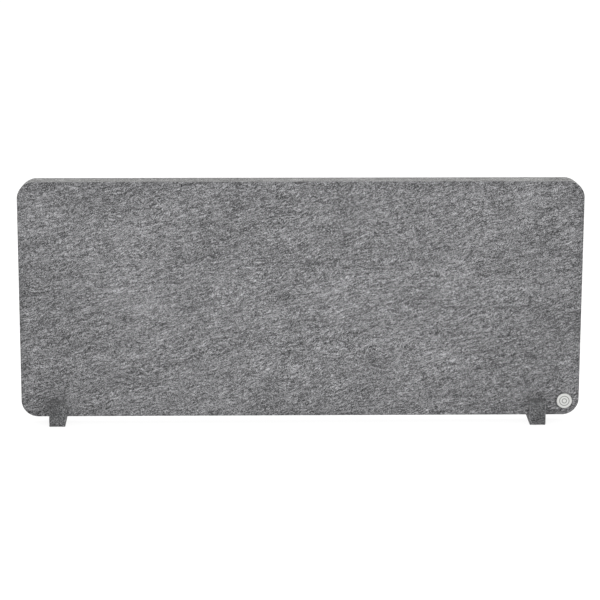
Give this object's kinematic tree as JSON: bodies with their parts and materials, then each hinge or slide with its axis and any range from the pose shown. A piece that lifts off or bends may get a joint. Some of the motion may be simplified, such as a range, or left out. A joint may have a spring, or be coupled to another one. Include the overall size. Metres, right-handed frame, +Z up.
{
  "type": "desk privacy panel",
  "caption": "Free-standing felt-covered desk privacy panel with rounded corners, a round corner badge and U-shaped felt feet that grip and slide along its lower edge.",
  "frame": {"origin": "on the desk surface, under the middle of the panel and of the feet's depth", "axes": "+X along the panel to its right as seen from the front, -Y towards the viewer of the badged front face, +Z up"},
  "size_m": [1.4, 0.1, 0.622],
  "materials": {
    "face_felt": "matte heathered grey needle felt",
    "edge_felt": "matte heathered grey needle felt, brushed smooth",
    "foot_felt": "matte dark grey needle felt",
    "pine": "planed and unfinished",
    "beech": "fluted, unfinished",
    "wadding": "matte lofted polyester wadding",
    "steel": "satin",
    "zinc": "satin zinc plating",
    "rubber": "matte",
    "badge_metal": "satin off-white",
    "badge_face": "satin off-white"
  },
  "bodies": {
    "panel": {"top_rail": "pine", "bottom_rail": "pine", "left_stile": "pine", "right_stile": "pine", "centre_post": "pine", "top_left_block": "pine", "top_right_block": "pine", "bottom_left_block": "pine", "bottom_right_block": "pine", "left_absorber": "wadding", "right_absorber": "wadding", "frame_dowels": "beech", "frame_screws": "zinc", "front_felt": "face_felt", "rear_felt": "face_felt", "edge_felt": "edge_felt", "badge_cup": "badge_metal", "badge_cap": "badge_face", "badge_nail": "zinc"},
    "left_foot": {"left_foot_felt": "foot_felt", "left_foot_channel": "steel", "left_foot_base_plate": "steel", "left_foot_screws": "zinc", "left_foot_front_liner": "rubber", "left_foot_rear_liner": "rubber", "left_foot_seat_liner": "rubber", "left_foot_front_pad": "rubber", "left_foot_rear_pad": "rubber"},
    "right_foot": {"right_foot_felt": "foot_felt", "right_foot_channel": "steel", "right_foot_base_plate": "steel", "right_foot_screws": "zinc", "right_foot_front_liner": "rubber", "right_foot_rear_liner": "rubber", "right_foot_seat_liner": "rubber", "right_foot_front_pad": "rubber", "right_foot_rear_pad": "rubber"}
  },
  "joints": [
    {"name": "left_foot_slide", "type": "slide", "parent": "panel", "child": "left_foot", "axis": [1, 0, 0], "range_m": [-0.027, 0.58]},
    {"name": "right_foot_slide", "type": "slide", "parent": "panel", "child": "right_foot", "axis": [-1, 0, 0], "range_m": [-0.027, 0.565]}
  ]
}
